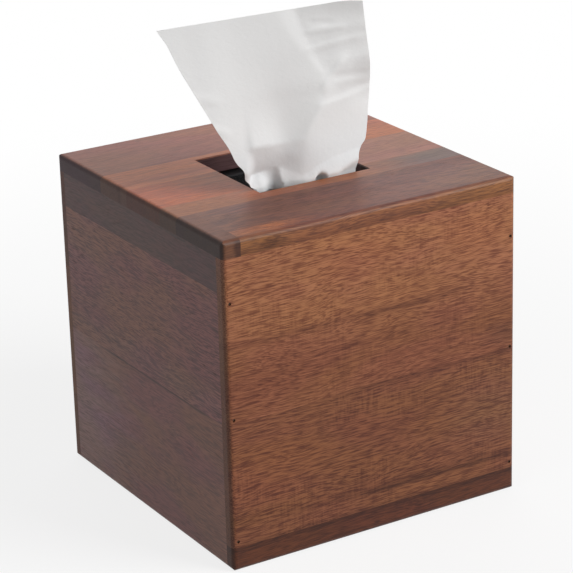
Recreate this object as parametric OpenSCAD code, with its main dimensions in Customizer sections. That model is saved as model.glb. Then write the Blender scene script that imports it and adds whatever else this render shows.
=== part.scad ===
// Wooden tissue box cover, standing over a cube refill carton with a tissue drawn up.
// Millimetres. Origin at the middle of the base, front towards -Y, up is +Z.

/* [Refill carton] */
// Width of the carton that the cover is made for
carton_w = 112; // [100:1:130]
// Depth of the carton
carton_d = 112; // [100:1:130]
// Height of the carton
carton_h = 127; // [118:1:150]
// Thickness of the card
card_t = 0.6; // [0.4:0.1:1]
// Rounding of the carton's upright creases
carton_r = 1.2; // [1:0.1:3]
// Length of the oval window in the carton's top
window_w = 84; // [76:1:94]
// Breadth of the oval window
window_d = 50; // [30:1:70]

/* [Cover] */
// Play between the carton and each wall of the cover
side_gap = 6.5; // [2:0.5:12]
// Play between the carton's top and the cover's top panel
head_gap = 2.5; // [1:0.5:8]
// Thickness of the four walls
wall_t = 5; // [4:0.5:9]
// Thickness of the top panel
top_t = 7; // [5:0.5:12]
// Rounding sanded on all outer edges
edge_r = 2; // [0.5:0.25:3]

/* [Slot] */
// Width of the square slot, along the front
slot_w = 51; // [49:1:60]
// Depth of the slot, front to back
slot_d = 51; // [44:1:60]
// Width of the bevel sanded on the slot's upper rim
slot_bevel = 0.4; // [0.2:0.1:1]

/* [Top panel staves] */
// Wood that the notched rear stave keeps behind the slot
rear_bridge = 4; // [2:0.5:10]
// How far that stave is cut by the slot
rear_notch = 18; // [6:0.5:20]
// Wood that the notched fore stave keeps in front of the slot
fore_bridge = 7; // [2:0.5:12]
// How far that stave is cut by the slot
fore_notch = 6; // [3:0.5:12]
// Length of the short block that ends the front stave
corner_block_w = 8.1; // [5:0.1:30]

/* [Wall staves; the middle one takes the rest of the height] */
// Height of the front board's lowest stave
front_foot_h = 10; // [6:0.5:24]
// Height of the front board's highest stave
front_upper_h = 67; // [40:0.5:80]
// Height of the left board's lowest stave
left_lower_h = 61; // [30:0.5:70]
// Height of the left board's highest stave
left_upper_h = 14.5; // [8:0.5:30]
// Height of the right board's lowest stave
right_lower_h = 44; // [20:0.5:60]
// Height of the right board's highest stave
right_upper_h = 33.5; // [10:0.5:40]
// Height of the back board's lowest stave
back_lower_h = 30; // [20:0.5:50]
// Height of the back board's highest stave
back_upper_h = 41.5; // [10:0.5:50]

/* [Brads] */
// Diameter of a brad's shank
brad_d = 1; // [0.8:0.1:1.6]
// Diameter of its head
brad_head_d = 1.2; // [1.1:0.1:2]
// Thickness of its head
brad_head_t = 0.5; // [0.3:0.1:1]
// Length of a brad
brad_len = 18; // [12:0.5:25]
// How deep the head is driven below the face
brad_sink = 0.6; // [0.5:0.1:2]
// Height of the lowest brads above the base
brad_foot = 12.5; // [6:0.5:30]
// Distance of the highest brads from the joint with the top panel
brad_head_drop = 18; // [8:0.5:30]

/* [Tissues] */
// Play between the stack of tissues and the carton's walls
stack_gap = 2.5; // [1:0.5:6]
// Free height between the stack and the film
stack_headroom = 22; // [18:0.5:40]
// Thickness of the window's film
film_t = 0.2; // [0.1:0.05:0.4]
// How far the film reaches past the window
film_lap = 8; // [4:1:10]
// Length of the film's slit
slit_w = 72; // [64:1:76]
// Breadth to which the slit opens round the drawn tissue
slit_d = 12; // [10:0.5:18]
// Thickness of the drawn tissue, folded double
sheet_t = 1.2; // [0.8:0.1:1.4]
// Height of its top edge over the cover
sheet_rise = 68.5; // [40:0.5:90]
// Width to which the slit gathers it
gather_w = 44; // [30:1:46]
// Width of its top edge
fan_w = 94; // [60:1:104]
// Width of the folded sheet where it lies flat
fold_w = 103; // [80:1:103]

/* [Hidden] */
// One overrun for every cut
cut = 1;
// Radial clearance of a brad in its hole
brad_fit = 0.05;
// Clearance between the tissue and what it lies or leans on
tissue_fit = 0.4;
// Overlap of the two outer base flaps, seen as a step inside
flap_lap = 16;
// Open joint along the edge of the upper base flap
flap_joint = 0.6;
// Width of the glued lap inside the back left crease
glue_lap_w = 14;
// Share of the base that each inner flap covers
dust_flap_share = 0.36;
// Where the middle brads sit between the lowest and the highest
brad_middle_share = 0.52;

cover_w = carton_w + 2 * (side_gap + wall_t);
cover_d = carton_d + 2 * (side_gap + wall_t);
wall_h = carton_h + head_gap;
cover_h = wall_h + top_t;
slot_front = -slot_d / 2;
slot_back = slot_d / 2;
rear_seam = slot_back + rear_bridge;
middle_back_seam = slot_back - rear_notch;
middle_front_seam = slot_front + fore_notch;
fore_seam = slot_front - fore_bridge;
brad_top = wall_h - brad_head_drop;
brad_heights = [brad_foot, brad_foot + (brad_top - brad_foot) * brad_middle_share, brad_top];

film_z = carton_h - card_t - film_t;
base_t = 2 * card_t;
stack_top = film_z - stack_headroom;
stack_w = carton_w - 2 * (card_t + stack_gap);
stack_d = carton_d - 2 * (card_t + stack_gap);

// The drawn sheet: rows run from its lower end, on the stack, to its top edge.
// Heights of the two folds that lie on the stack
lay_low = stack_top + tissue_fit + sheet_t / 2;
lay_high = lay_low + sheet_t + tissue_fit;
// Lying rows: place from front to back as a share of the stack's half depth,
// and height as a share of the step between the two folds
lay_shares = [[-0.36, 0], [0.03, 0], [0.42, 0], [0.81, 0], [0.84, 0.15], [0.853, 0.5],
              [0.84, 0.85], [0.81, 1], [0.58, 1], [0.34, 1], [0.12, 1]];
// Rows that climb to the slot: place as a share of the slot's half depth, and height as a
// share of the way from the upper fold to the film, and past 1 from the film to the cover's top
climb_shares = [[0.09, 0.04], [0.05, 0.2], [0.02, 0.5], [0, 1], [-0.1, 1.14], [-0.34, 1.38],
                [-0.64, 1.66], [-0.85, 1.87]];
// Clearance between the sheet and the slot's front wall, where it leans
lean_fit = 0.3;
// Rows above the cover
fan_rows = 12;
// Columns across the sheet
fan_cols = 18;
// How far the top edge stands back from the slot's front wall
fan_back = 8;
// Share of the fan's spread that goes to the left
left_spread_share = 0.86;
// How far the right margin swells past a straight line
right_swell = 4;
// Depth of the broad ridge and of the valley beside it
ridge_h = 5;
// Depth of the gathers in the slot
gather_h = 2;
// How far the left margin curls back into the slot
curl_back = 8;
// Where valley, ridge and pinch lie across the sheet, and how wide they are
valley_share = 0.44;
ridge_share = 0.74;
fold_width_share = 0.13;
pinch_share = 0.3;
pinch_width_share = 0.05;

// A rectangle with round corners, centred
module round_rect(w, d, r) {
    square([w - 2 * r, d], center = true);
    square([w, d - 2 * r], center = true);
    for (x = [-1, 1], y = [-1, 1])
        translate([x * (w / 2 - r), y * (d / 2 - r)])
            circle(r = r, $fn = 48);
}

// The whole outside of the cover, with every outer edge rounded
module cover_outside() {
    intersection() {
        linear_extrude(cover_h)
            round_rect(cover_w, cover_d, edge_r);
        translate([0, cover_d / 2, cover_h / 2])
            rotate([90, 0, 0])
                linear_extrude(cover_d)
                    round_rect(cover_w, cover_h, edge_r);
        translate([-cover_w / 2, 0, cover_h / 2])
            rotate([90, 0, 90])
                linear_extrude(cover_w)
                    round_rect(cover_d, cover_h, edge_r);
    }
}

// What one stave takes of the cover, between two corners
module stave(low, high) {
    intersection() {
        cover_outside();
        translate(low)
            cube(high - low);
    }
}

// One brad, or its hole, pointing along +Y from the face it enters
module brad_shape(fit, above) {
    rotate([-90, 0, 0]) {
        cylinder(d = brad_d + 2 * fit, h = brad_len + fit, $fn = 32);
        translate([0, 0, -above])
            cylinder(d = brad_head_d + 2 * fit, h = brad_head_t + above + fit, $fn = 32);
    }
}

// Six brads through the front board, or their holes
module brad_set(fit, above) {
    for (x = [-1, 1], z = brad_heights)
        translate([x * (cover_w - wall_t) / 2, -cover_d / 2 + brad_sink, z])
            brad_shape(fit, above);
}

module brad_holes(front, back) {
    if (front)
        brad_set(brad_fit, brad_sink + cut);
    if (back)
        mirror([0, 1, 0])
            brad_set(brad_fit, brad_sink + cut);
}

// A stave of the front board (side -1) or of the back board (side 1)
module face_stave(side, z0, z1) {
    inner = cover_d / 2 - wall_t;
    y0 = side < 0 ? -cover_d / 2 : inner;
    difference() {
        stave([-cover_w / 2, y0, z0], [cover_w / 2, y0 + wall_t, z1]);
        brad_holes(side < 0, side > 0);
    }
}

// A stave of the left board (side -1) or of the right board (side 1)
module side_stave(side, z0, z1) {
    inner = cover_d / 2 - wall_t;
    x0 = side < 0 ? -cover_w / 2 : cover_w / 2 - wall_t;
    difference() {
        stave([x0, -inner, z0], [x0 + wall_t, inner, z1]);
        brad_holes(true, true);
    }
}

// Cross-section of the bevel on two opposite edges of the slot
module bevel_section(w) {
    low = w / 2;
    high = w / 2 + 2 * slot_bevel;
    polygon([[-low, -slot_bevel], [low, -slot_bevel], [high, slot_bevel], [-high, slot_bevel]]);
}

// What the bevel takes off round the slot's upper rim
module bevel_cut() {
    translate([0, 0, cover_h])
        intersection() {
            rotate([90, 0, 0])
                linear_extrude(2 * slot_d, center = true)
                    bevel_section(slot_w);
            rotate([90, 0, 90])
                linear_extrude(2 * slot_w, center = true)
                    bevel_section(slot_d);
        }
}

// A stave of the top panel, cut by the slot where it reaches it
module top_stave(x0, x1, y0, y1) {
    difference() {
        stave([x0, y0, wall_h], [x1, y1, cover_h]);
        translate([-slot_w / 2, slot_front, wall_h - cut])
            cube([slot_w, slot_d, top_t + 2 * cut]);
        bevel_cut();
    }
}

module front_foot_stave() {
    color("#6b4030")
        face_stave(-1, 0, front_foot_h);
}

module front_lower_stave() {
    color("#7f5040")
        face_stave(-1, front_foot_h, wall_h - front_upper_h);
}

module front_upper_stave() {
    color("#8f5b41")
        face_stave(-1, wall_h - front_upper_h, wall_h);
}

module back_lower_stave() {
    color("#7a4d3c")
        face_stave(1, 0, back_lower_h);
}

module back_middle_stave() {
    color("#875743")
        face_stave(1, back_lower_h, wall_h - back_upper_h);
}

module back_upper_stave() {
    color("#74483a")
        face_stave(1, wall_h - back_upper_h, wall_h);
}

module left_lower_stave() {
    color("#75564c")
        side_stave(-1, 0, left_lower_h);
}

module left_middle_stave() {
    color("#80594a")
        side_stave(-1, left_lower_h, wall_h - left_upper_h);
}

module left_upper_stave() {
    color("#6d534c")
        side_stave(-1, wall_h - left_upper_h, wall_h);
}

module right_lower_stave() {
    color("#7c4f3f")
        side_stave(1, 0, right_lower_h);
}

module right_middle_stave() {
    color("#8a5a45")
        side_stave(1, right_lower_h, wall_h - right_upper_h);
}

module right_upper_stave() {
    color("#76493a")
        side_stave(1, wall_h - right_upper_h, wall_h);
}

module top_back_stave() {
    color("#8e7068")
        top_stave(-cover_w / 2, cover_w / 2, rear_seam, cover_d / 2);
}

module top_rear_notched_stave() {
    color("#96705f")
        top_stave(-cover_w / 2, cover_w / 2, middle_back_seam, rear_seam);
}

module top_middle_left_stave() {
    color("#9a6c55")
        top_stave(-cover_w / 2, 0, middle_front_seam, middle_back_seam);
}

module top_middle_right_stave() {
    color("#956a58")
        top_stave(0, cover_w / 2, middle_front_seam, middle_back_seam);
}

module top_fore_notched_stave() {
    color("#927060")
        top_stave(-cover_w / 2, cover_w / 2, fore_seam, middle_front_seam);
}

module top_front_stave() {
    color("#866259")
        top_stave(-cover_w / 2 + corner_block_w, cover_w / 2, -cover_d / 2, fore_seam);
}

module top_corner_block() {
    color("#7d5a4c")
        top_stave(-cover_w / 2, -cover_w / 2 + corner_block_w, -cover_d / 2, fore_seam);
}

module front_brads() {
    color("#4a4644")
        brad_set(0, 0);
}

module back_brads() {
    color("#4a4644")
        mirror([0, 1, 0])
            brad_set(0, 0);
}

// The oval of the window, or of the film below it
module window_shape(w, d) {
    square([w - d, d], center = true);
    for (side = [-1, 1])
        translate([side * (w - d) / 2, 0])
            circle(d = d, $fn = 96);
}

// The carton is one folded and glued blank: walls, top, two pairs of base flaps
module carton() {
    inner_w = carton_w - 2 * card_t;
    inner_d = carton_d - 2 * card_t;
    flap_w = inner_w * dust_flap_share;
    color("#2b2a2c") {
        difference() {
            linear_extrude(carton_h)
                round_rect(carton_w, carton_d, carton_r);
            translate([0, 0, card_t])
                linear_extrude(carton_h - 2 * card_t)
                    round_rect(inner_w, inner_d, carton_r - card_t / 2);
            translate([0, 0, carton_h - card_t - cut])
                linear_extrude(card_t + 2 * cut)
                    window_shape(window_w, window_d);
            translate([-inner_w / 2, -flap_lap / 2, -cut])
                cube([inner_w, flap_joint, card_t / 2 + cut]);
        }
        for (side = [-1, 1])
            translate([side * (inner_w - flap_w) / 2, 0, 1.5 * card_t])
                cube([flap_w, inner_d, card_t], center = true);
        translate([-inner_w / 2, inner_d / 2 - glue_lap_w, base_t])
            cube([card_t, glue_lap_w, carton_h - card_t - base_t]);
    }
}

// The lens that the slit opens to, as two arcs
module slit_lens() {
    bow = (pow(slit_w / 2, 2) + pow(slit_d / 2, 2)) / slit_d;
    intersection_for (side = [-1, 1])
        translate([0, side * (bow - slit_d / 2)])
            circle(r = bow, $fn = 180);
}

module window_film() {
    color("#cfd6da")
        translate([0, 0, film_z])
            linear_extrude(film_t)
                difference() {
                    window_shape(window_w + 2 * film_lap, window_d + 2 * film_lap);
                    slit_lens();
                }
}

module tissue_stack() {
    color("#ece9e4")
        translate([0, 0, base_t])
            linear_extrude(stack_top - base_t)
                round_rect(stack_w, stack_d, carton_r);
}

function mix_of(a, b, t) = a + (b - a) * t;
function ease(t) = t * t * (3 - 2 * t);
function clamp01(t) = max(0, min(1, t));
function bump(u, at, width) = exp(-pow((u - at) / width, 2));

// Middle line of the sheet in side view, row by row, as [y, z]
lean_y = slot_front + lean_fit + sheet_t / 2;
lay_rows = [for (p = lay_shares) [p[0] * stack_d / 2, mix_of(lay_low, lay_high, p[1])]];
climb_rows = [for (p = climb_shares)
    [p[0] * slot_d / 2, p[1] < 1 ? mix_of(lay_high, film_z, p[1]) : mix_of(film_z, cover_h, p[1] - 1)]];
fan_line = [for (k = [0 : fan_rows])
    let (t = k / fan_rows) [lean_y + fan_back * ease(t), cover_h + sheet_rise * t]];
side_line = concat(lay_rows, climb_rows, fan_line);
rows = len(side_line) - 1;
fan_start = len(lay_rows) + len(climb_rows);
lay_end = len(lay_rows) - 1;

// Share of the way up the fan, and of the way from the gather to the lying end
function fan_t(j) = clamp01((j - fan_start) / fan_rows);
function lay_t(j) = clamp01((lay_end - j) / (len(lay_rows) / 2));

// Left and right margins of a row, straight in the hidden part and spread in the fan
function left_x(j) = -mix_of(gather_w, fold_w, ease(lay_t(j))) / 2
    - (fan_w - gather_w) * left_spread_share * pow(fan_t(j), 0.9);
function right_x(j) = mix_of(gather_w, fold_w, ease(lay_t(j))) / 2
    + (fan_w - gather_w) * (1 - left_spread_share) * fan_t(j)
    + right_swell * sin(180 * fan_t(j));

// How far the sheet stands off its middle line at a share u of its width
function gather_off(u, j) = lay_t(j) > 0 ? 0
    : gather_h * (1 - 0.8 * fan_t(j)) * bump(u, pinch_share, pinch_width_share);
function fold_off(u, j) = ridge_h * sin(180 * pow(fan_t(j), 0.8))
    * (bump(u, valley_share, fold_width_share) - bump(u, ridge_share, fold_width_share));
function curl_off(u, j) = j < fan_start - 1 ? 0
    : curl_back * pow(1 - fan_t(j), 3) * bump(u, 0, 0.09);
function sheet_point(i, j) =
    let (u = i / fan_cols, p = side_line[j])
    [mix_of(left_x(j), right_x(j), u),
     p[0] + gather_off(u, j) + fold_off(u, j) + curl_off(u, j),
     p[1]];

sheet_grid = [for (j = [0 : rows]) [for (i = [0 : fan_cols]) sheet_point(i, j)]];

// Unit normal of the grid at a point, from its neighbours
function sheet_normal(i, j) =
    let (a = sheet_grid[j][min(i + 1, fan_cols)] - sheet_grid[j][max(i - 1, 0)],
         b = sheet_grid[min(j + 1, rows)][i] - sheet_grid[max(j - 1, 0)][i],
         n = cross(a, b))
    n / norm(n);

// The folded sheet as one thin closed skin: a front and a back grid joined round the rim
module tissue_sheet() {
    across = fan_cols + 1;
    count = across * (rows + 1);
    half = sheet_t / 2;
    front_points = [for (j = [0 : rows], i = [0 : fan_cols])
        sheet_grid[j][i] + half * sheet_normal(i, j)];
    back_points = [for (j = [0 : rows], i = [0 : fan_cols])
        sheet_grid[j][i] - half * sheet_normal(i, j)];
    cells = [for (j = [0 : rows - 1], i = [0 : fan_cols - 1]) j * across + i];
    rim = concat([for (i = [0 : fan_cols]) i],
                 [for (j = [1 : rows]) j * across + fan_cols],
                 [for (i = [fan_cols - 1 : -1 : 0]) rows * across + i],
                 [for (j = [rows - 1 : -1 : 1]) j * across]);
    faces = [for (c = cells, f = [[c, c + 1, c + across + 1], [c, c + across + 1, c + across]]) f];
    front_faces = [for (f = faces) [f[2], f[1], f[0]]];
    back_faces = [for (f = faces) [f[0] + count, f[1] + count, f[2] + count]];
    rim_faces = [for (k = [0 : len(rim) - 1])
        let (a = rim[k], b = rim[(k + 1) % len(rim)])
        for (f = [[a, b, b + count], [a, b + count, a + count]]) f];
    color("#e4e2df")
        polyhedron(points = concat(front_points, back_points),
                   faces = concat(front_faces, back_faces, rim_faces));
}

front_foot_stave();
front_lower_stave();
front_upper_stave();
back_lower_stave();
back_middle_stave();
back_upper_stave();
left_lower_stave();
left_middle_stave();
left_upper_stave();
right_lower_stave();
right_middle_stave();
right_upper_stave();
top_back_stave();
top_rear_notched_stave();
top_middle_left_stave();
top_middle_right_stave();
top_fore_notched_stave();
top_front_stave();
top_corner_block();
front_brads();
back_brads();
carton();
window_film();
tissue_stack();
tissue_sheet();
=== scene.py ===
"""Looks of the wooden tissue box cover: its staves, brads and refill carton keep their solids and get
wood, card, film and steel; the drawn tissue and the stack below it are made here as paper."""

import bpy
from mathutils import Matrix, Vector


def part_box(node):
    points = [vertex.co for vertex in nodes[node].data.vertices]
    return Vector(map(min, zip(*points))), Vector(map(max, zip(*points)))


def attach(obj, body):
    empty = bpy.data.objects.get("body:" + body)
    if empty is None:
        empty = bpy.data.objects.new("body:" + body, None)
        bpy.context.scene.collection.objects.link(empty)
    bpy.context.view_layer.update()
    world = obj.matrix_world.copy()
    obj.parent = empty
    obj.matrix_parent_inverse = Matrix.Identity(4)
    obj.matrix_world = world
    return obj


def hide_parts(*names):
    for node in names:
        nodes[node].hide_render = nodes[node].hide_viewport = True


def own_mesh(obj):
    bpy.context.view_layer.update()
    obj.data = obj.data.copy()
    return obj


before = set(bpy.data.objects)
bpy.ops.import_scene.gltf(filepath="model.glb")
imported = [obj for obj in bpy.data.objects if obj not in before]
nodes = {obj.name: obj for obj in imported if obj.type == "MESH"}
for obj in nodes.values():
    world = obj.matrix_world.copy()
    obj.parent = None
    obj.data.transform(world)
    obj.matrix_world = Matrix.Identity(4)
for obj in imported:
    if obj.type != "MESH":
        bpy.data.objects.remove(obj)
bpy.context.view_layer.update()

import math

import bmesh
import bpy
import numpy as np
from mathutils import Matrix

MM = 0.001

# The camera fitted to the photograph: angles, place in metres, lens and sensor in millimetres, clip distances
AZIMUTH, ELEVATION, ROLL = (math.radians(a) for a in (-31.05, 20.71, -1.624))
EYE = np.array([-0.49710, -0.82681, 0.44824])
LENS, SENSOR = 157.07, 36
NEAREST, FARTHEST = 0.05, 50


def placed(name, data, axes, place):
    """A new object whose own axes point along three given directions, standing at a place."""
    made = bpy.data.objects.new(name, data)
    bpy.context.scene.collection.objects.link(made)
    world = np.eye(4)
    world[:3, :3] = np.array(axes).T
    world[:3, 3] = place
    made.matrix_world = Matrix(world.tolist())
    return made


def eye_axes():
    """Right, up and backward directions of a camera turned by azimuth, elevation and roll."""
    back = np.array([math.sin(AZIMUTH) * math.cos(ELEVATION), -math.cos(AZIMUTH) * math.cos(ELEVATION),
                     math.sin(ELEVATION)])
    right = np.cross([0, 0, 1], back)
    right /= np.linalg.norm(right)
    up = np.cross(back, right)
    c, s = math.cos(ROLL), math.sin(ROLL)
    return c * right + s * up, c * up - s * right, back


def make_camera():
    data = bpy.data.cameras.new("photo_camera")
    data.sensor_width, data.lens = SENSOR, LENS
    data.clip_start, data.clip_end = NEAREST, FARTHEST
    bpy.context.scene.camera = placed("photo_camera", data, eye_axes(), EYE)


make_camera()


def fill(tree, node, sockets):
    """Gives a node's inputs their values: sockets pairs an input's name or number with a value or an output."""
    for key, value in sockets.items():
        if isinstance(value, bpy.types.NodeSocket):
            tree.links.new(value, node.inputs[key])
        else:
            node.inputs[key].default_value = value


def lay(tree, kind, sockets=None, **settings):
    """One new shader node, with its properties set and its inputs filled."""
    node = tree.nodes.new("ShaderNode" + kind)
    for name, value in settings.items():
        setattr(node, name, value)
    fill(tree, node, sockets or {})
    return node


def calc(tree, operation, *values):
    """The result of one Math node."""
    return lay(tree, "Math", dict(enumerate(values)), operation=operation).outputs[0]


def calc_point(tree, operation, *points):
    """The result of one Vector Math node."""
    return lay(tree, "VectorMath", dict(enumerate(points)), operation=operation).outputs[0]


def times(tree, *values):
    """The product of two or more values."""
    product = values[0]
    for value in values[1:]:
        product = calc(tree, "MULTIPLY", product, value)
    return product


def swayed(tree, value, noise, weight):
    """value moved up or down as noise lies above or below its middle, by half of weight at the most."""
    return calc(tree, "MULTIPLY_ADD", calc(tree, "SUBTRACT", noise, 0.5), weight, value)


def ramp(tree, value, low, high, out_low=0.0, out_high=1.0):
    """value carried smoothly from low..high to out_low..out_high."""
    return lay(tree, "MapRange", {0: value, 1: low, 2: high, 3: out_low, 4: out_high},
               interpolation_type="SMOOTHSTEP").outputs[0]


def joined(tree, x, y=0.0, z=0.0):
    """A point made of its three coordinates."""
    return lay(tree, "CombineXYZ", {0: x, 1: y, 2: z}).outputs[0]


def split(tree, point):
    """A point's three coordinates."""
    return lay(tree, "SeparateXYZ", {0: point}).outputs


def object_point(tree):
    """The shaded point in the object's coordinates, in metres."""
    return lay(tree, "TexCoord").outputs["Object"]


def millimetres(tree, point, turn=(0, 0, 0)):
    """A point in metres carried to millimetres and turned."""
    return lay(tree, "Mapping", {"Vector": point, "Rotation": turn, "Scale": (1 / MM,) * 3}).outputs[0]


def waves(tree, point, seed, detail, rough):
    """Smooth noise from 0 to 1 whose broadest waves are about 1 long."""
    return lay(tree, "TexNoise", {"Vector": point, "W": seed, "Scale": 1.0, "Detail": detail, "Roughness": rough},
               noise_dimensions="4D").outputs[0]


def cloudy(tree, point, seed, size, detail=2.0, rough=0.5):
    """The same noise at a point divided by size, a number or three."""
    sizes = size if hasattr(size, "__len__") else (size,) * 3
    return waves(tree, calc_point(tree, "MULTIPLY", point, tuple(1 / s for s in sizes)), seed, detail, rough)


def tinted(tree, colour, tint, share):
    """colour multiplied by tint, by a share from 0 to 1."""
    return lay(tree, "Mix", {0: share, 6: colour, 7: tint}, data_type="RGBA", blend_type="MULTIPLY").outputs[2]


def blended(tree, colour, other, share):
    """colour turned into another one, by a share from 0 to 1."""
    return lay(tree, "Mix", {0: share, 6: colour, 7: other}, data_type="RGBA").outputs[2]


def group(name, takes, gives):
    """A new shader node group: its tree, its inputs by name, and a node that takes its results. takes and gives
    list the names of the sockets of each kind."""
    tree = bpy.data.node_groups.new(name, "ShaderNodeTree")
    for in_out, kinds in (("INPUT", takes), ("OUTPUT", gives)):
        for kind, labels in kinds.items():
            for label in labels:
                tree.interface.new_socket(name=label, in_out=in_out, socket_type="NodeSocket" + kind)
    return tree, tree.nodes.new("NodeGroupInput").outputs, tree.nodes.new("NodeGroupOutput")


def use(tree, shared, sockets):
    """The results of a shared group placed in a material with its own values."""
    return lay(tree, "Group", sockets, node_tree=shared).outputs


# Noises of the wood figure: size in millimetres along the grain and the two ways across it, detail and roughness
WANDER = ((60, 24, 24), 2.0, 0.5)
MOTTLE = ((42, 17, 17), 1.2, 0.5)
GRAIN = {
    "lines": ((13, 0.60, 0.60), 0.5, 0.6),
    "fibres": ((6.5, 0.36, 0.36), 1.0, 0.7),
    "growth": ((40, 6, 6), 1.0, 0.5),
    "pores": ((4.4, 0.38, 0.38), 1.0, 0.5),
    "pore_crowd": ((26, 7, 7), 1.0, 0.5),
    "ripple": ((1.1, 7, 7), 1.0, 0.6),
    "ripple_place": ((34, 22, 22), 1.0, 0.5),
}
# How far the lines wander and how long the bands are, in millimetres, and growth lines over the bands' whole range
WANDER_WAY, BAND_LENGTH, GROWTH_LINES = 9.0, 110, 11.0
# The tone runs from TONE_LOW at a stave's dark colour to TONE_HIGH at its light one, and the noises, each by its
# weight, move it about its middle
TONE_LOW, TONE_MIDDLE, TONE_HIGH = -0.4, 0.58, 1.4
BAND_WEIGHT, LINE_WEIGHT, FIBRE_WEIGHT = 1.3, 0.5, 3.3
PORE_TINT = (0.40, 0.32, 0.29, 1)
YELLOWER, REDDER = (1.03, 1.05, 0.91, 1), (0.99, 0.90, 1.02, 1)


def build_figure():
    """Figure of sawn wood in a block whose grain runs along X, in millimetres. The point is first shifted across
    the grain by slow noise, so that the lines wander. Broad bands, lines and fibres are noise drawn out along the
    grain, from coarse to fine; growth lines are level lines of the bands; pores are short dashes where fine noise
    passes a threshold; ripple is noise squeezed along the grain instead; mottling leans the colour to yellow or to
    red."""
    tree, has, end = group("wood_figure", {
        "Vector": ["Point"], "Color": ["Light", "Dark", "End Tint"],
        "Float": ["Seed", "End Grain", "Band", "Contrast", "Fine", "Lines", "Pores", "Ripple", "Mottle"]},
        {"Color": ["Color"], "Float": ["Roughness", "Height"]})
    seed = has["Seed"]
    wander = calc(tree, "SUBTRACT", cloudy(tree, has["Point"], seed, *WANDER), 0.5)
    shift = times(tree, wander, WANDER_WAY)
    point = calc_point(tree, "ADD", has["Point"], joined(tree, 0.0, shift, shift))
    thin = calc(tree, "DIVIDE", 1.0, has["Band"])
    band_point = calc_point(tree, "MULTIPLY", point, joined(tree, 1 / BAND_LENGTH, thin, thin))
    bands = waves(tree, band_point, seed, 2.5, 0.5)
    noise = {name: cloudy(tree, point, seed, *look) for name, look in GRAIN.items()}

    level = calc(tree, "PINGPONG", times(tree, bands, GROWTH_LINES), 1.0)
    growth = times(tree, ramp(tree, level, 0.55, 1.0), noise["growth"])
    crowd = ramp(tree, noise["pore_crowd"], 0.35, 0.65, 0.3, 1.0)
    pores = times(tree, ramp(tree, noise["pores"], 0.58, 0.70), crowd)
    ripple_place = ramp(tree, noise["ripple_place"], 0.42, 0.62)
    ripple = times(tree, calc(tree, "SUBTRACT", noise["ripple"], 0.5), ripple_place, has["Ripple"])

    tone = swayed(tree, TONE_MIDDLE, bands, times(tree, has["Contrast"], BAND_WEIGHT))
    tone = swayed(tree, tone, noise["lines"], times(tree, has["Fine"], LINE_WEIGHT))
    tone = swayed(tree, tone, noise["fibres"], times(tree, has["Fine"], FIBRE_WEIGHT))
    tone = calc(tree, "SUBTRACT", tone, times(tree, growth, has["Lines"]))
    tone = ramp(tree, calc(tree, "ADD", tone, ripple), TONE_LOW, TONE_HIGH)
    colour = blended(tree, has["Dark"], has["Light"], tone)
    colour = tinted(tree, colour, PORE_TINT, times(tree, pores, has["Pores"]))
    patchy = cloudy(tree, point, calc(tree, "ADD", seed, 7.3), *MOTTLE)
    for tint, low, high in ((YELLOWER, 0.42, 0.66), (REDDER, 0.56, 0.34)):
        colour = tinted(tree, colour, tint, times(tree, ramp(tree, patchy, low, high), has["Mottle"]))
    colour = tinted(tree, colour, has["End Tint"], has["End Grain"])

    rough = calc(tree, "MULTIPLY_ADD", noise["fibres"], 0.10, 0.41)
    rough = calc(tree, "MULTIPLY_ADD", pores, 0.12, rough)
    rough = calc(tree, "MULTIPLY_ADD", has["End Grain"], 0.10, rough)
    height = calc(tree, "MULTIPLY_ADD", noise["fibres"], 0.35, times(tree, pores, -0.8))
    fill(tree, end, {"Color": colour, "Roughness": rough, "Height": height})
    return tree


def build_streak():
    """A dark streak along the grain: 1 on the line across = At + Slope * along, shifted by noise times Wander, and
    falling off as a bell over Breadth; it starts and ends softly over Fade."""
    tree, has, end = group("grain_streak", {
        "Float": ["Along", "Across", "At", "Slope", "Wander", "Breadth", "Start", "Stop", "Fade", "Seed"]},
        {"Float": ["Mask"]})
    line = calc(tree, "MULTIPLY_ADD", has["Along"], has["Slope"], has["At"])
    sway = cloudy(tree, joined(tree, has["Along"]), has["Seed"], 24)
    line = swayed(tree, line, sway, times(tree, has["Wander"], 2.0))
    off = calc(tree, "DIVIDE", calc(tree, "SUBTRACT", has["Across"], line), has["Breadth"])
    bell = calc(tree, "POWER", math.e, times(tree, off, off, -1.0))
    fades = []
    for at, before, after in ((has["Start"], 0.0, 1.0), (has["Stop"], 1.0, 0.0)):
        low, high = (calc(tree, way, at, has["Fade"]) for way in ("SUBTRACT", "ADD"))
        fades.append(ramp(tree, has["Along"], low, high, before, after))
    gaps = cloudy(tree, joined(tree, has["Along"], has["Across"]), has["Seed"], (18, 0.7, 1))
    broken = ramp(tree, gaps, 0.3, 0.6, 0.55, 1.0)
    fill(tree, end, {"Mask": times(tree, times(tree, bell, broken), times(tree, *fades))})
    return tree


def build_patch():
    """A soft patch: the distance from its middle, each way divided by its radius, disturbed by drawn-out noise, and
    carried from 1 inside to 0 at that radius."""
    tree, has, end = group("soft_patch", {
        "Float": ["Along", "Across", "Along At", "Across At", "Along Radius", "Across Radius", "Seed"]},
        {"Float": ["Mask"]})
    squares = []
    for way in ("Along", "Across"):
        off = calc(tree, "DIVIDE", calc(tree, "SUBTRACT", has[way], has[way + " At"]), has[way + " Radius"])
        squares.append(times(tree, off, off))
    far = calc(tree, "SQRT", calc(tree, "ADD", *squares))
    blur = cloudy(tree, joined(tree, has["Along"], has["Across"]), has["Seed"], (16, 3, 1), 3.0, 0.6)
    far = swayed(tree, far, blur, 0.9)
    fill(tree, end, {"Mask": ramp(tree, far, 0.15, 1.0, 1.0, 0.0)})
    return tree


wood_figure, grain_streak, soft_patch = build_figure(), build_streak(), build_patch()


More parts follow.
